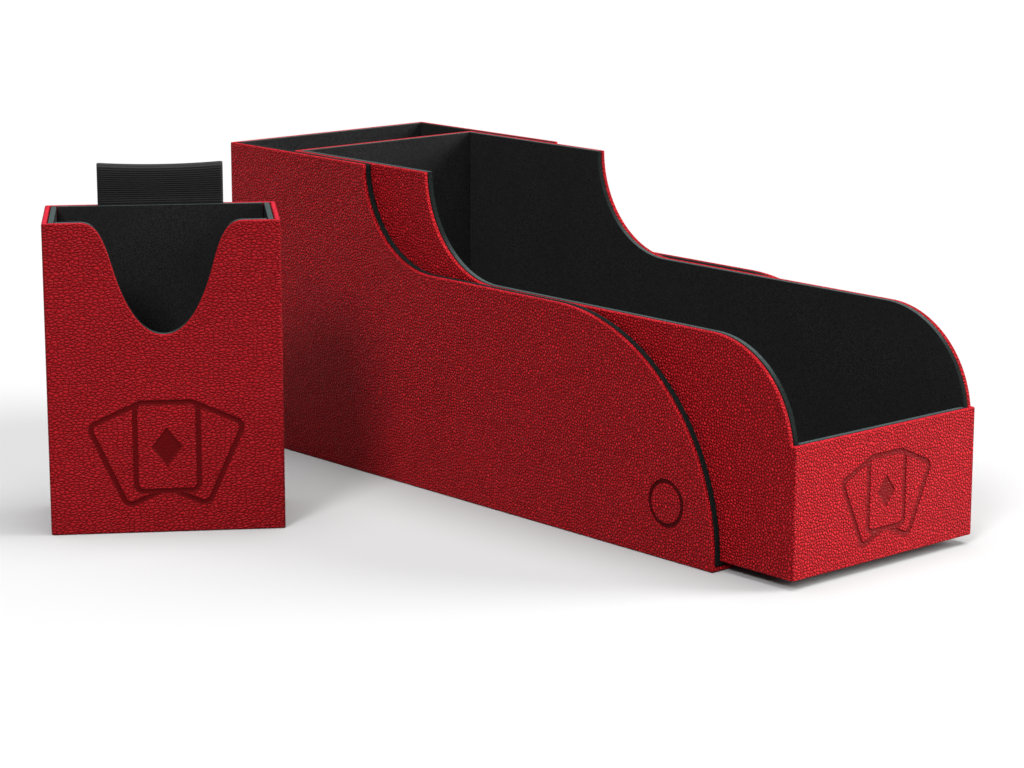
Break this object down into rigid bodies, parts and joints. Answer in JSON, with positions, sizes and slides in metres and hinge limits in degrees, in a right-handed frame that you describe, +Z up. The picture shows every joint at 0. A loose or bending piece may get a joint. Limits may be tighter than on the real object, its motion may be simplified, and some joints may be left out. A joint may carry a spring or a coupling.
{
  "type": "card deck box",
  "caption": "Open storage box for a row of sleeved cards, a trough set in a curved outer shell, with a lift-out card tray that has a finger notch and an elastic pull loop.",
  "frame": {"origin": "centre of the main box's underside, on the surface that the box and the tray stand on", "axes": "+X to the right across the box's width seen from its front, -Y out of the low front panel, +Y out of the tall back, +Z up; the tray stands beside the box on its -X side"},
  "size_m": [0.2205, 0.2804, 0.1164],
  "materials": {
    "red_leatherette": "pebble-grain embossed leatherette on board, satin",
    "black_liner": "fine matt black suede paper on board, grey cut edges",
    "black_elastic": "ribbed woven elastic",
    "nickel_plating": "nickel-plated disc"
  },
  "bodies": {
    "box": {"shell_bottom": "red_leatherette", "shell_back": "red_leatherette", "shell_side_left": "red_leatherette", "shell_side_right": "red_leatherette", "trough_front": "red_leatherette", "trough_back": "red_leatherette", "trough_floor": "red_leatherette", "trough_side_left": "red_leatherette", "trough_side_right": "red_leatherette", "shell_bottom_liner": "black_liner", "shell_back_liner": "black_liner", "shell_liner_left": "black_liner", "shell_liner_right": "black_liner", "trough_front_liner": "black_liner", "trough_back_liner": "black_liner", "trough_floor_liner": "black_liner", "trough_liner_left": "black_liner", "trough_liner_right": "black_liner", "magnet_left": "nickel_plating", "magnet_right": "nickel_plating"},
    "tray": {"tray_front": "red_leatherette", "tray_back": "red_leatherette", "tray_bottom": "red_leatherette", "tray_side_left": "red_leatherette", "tray_side_right": "red_leatherette", "tray_front_liner": "black_liner", "tray_back_liner": "black_liner", "tray_bottom_liner": "black_liner", "tray_liner_left": "black_liner", "tray_liner_right": "black_liner", "pull_loop_tail": "black_elastic"},
    "pull_loop": {"pull_loop": "black_elastic"}
  },
  "joints": [
    {"name": "tray_lift", "type": "slide", "parent": "box", "child": "tray", "axis": [0, 0, 1], "range_m": [0, 0.12]},
    {"name": "loop_bend", "type": "hinge", "parent": "tray", "child": "pull_loop", "pos_m": [-0.12219, 0.07352, 0.1034], "axis": [0.8258, -0.564, 0], "range_deg": [-80, 80], "stiffness_Nm_per_rad": 0.004}
  ]
}
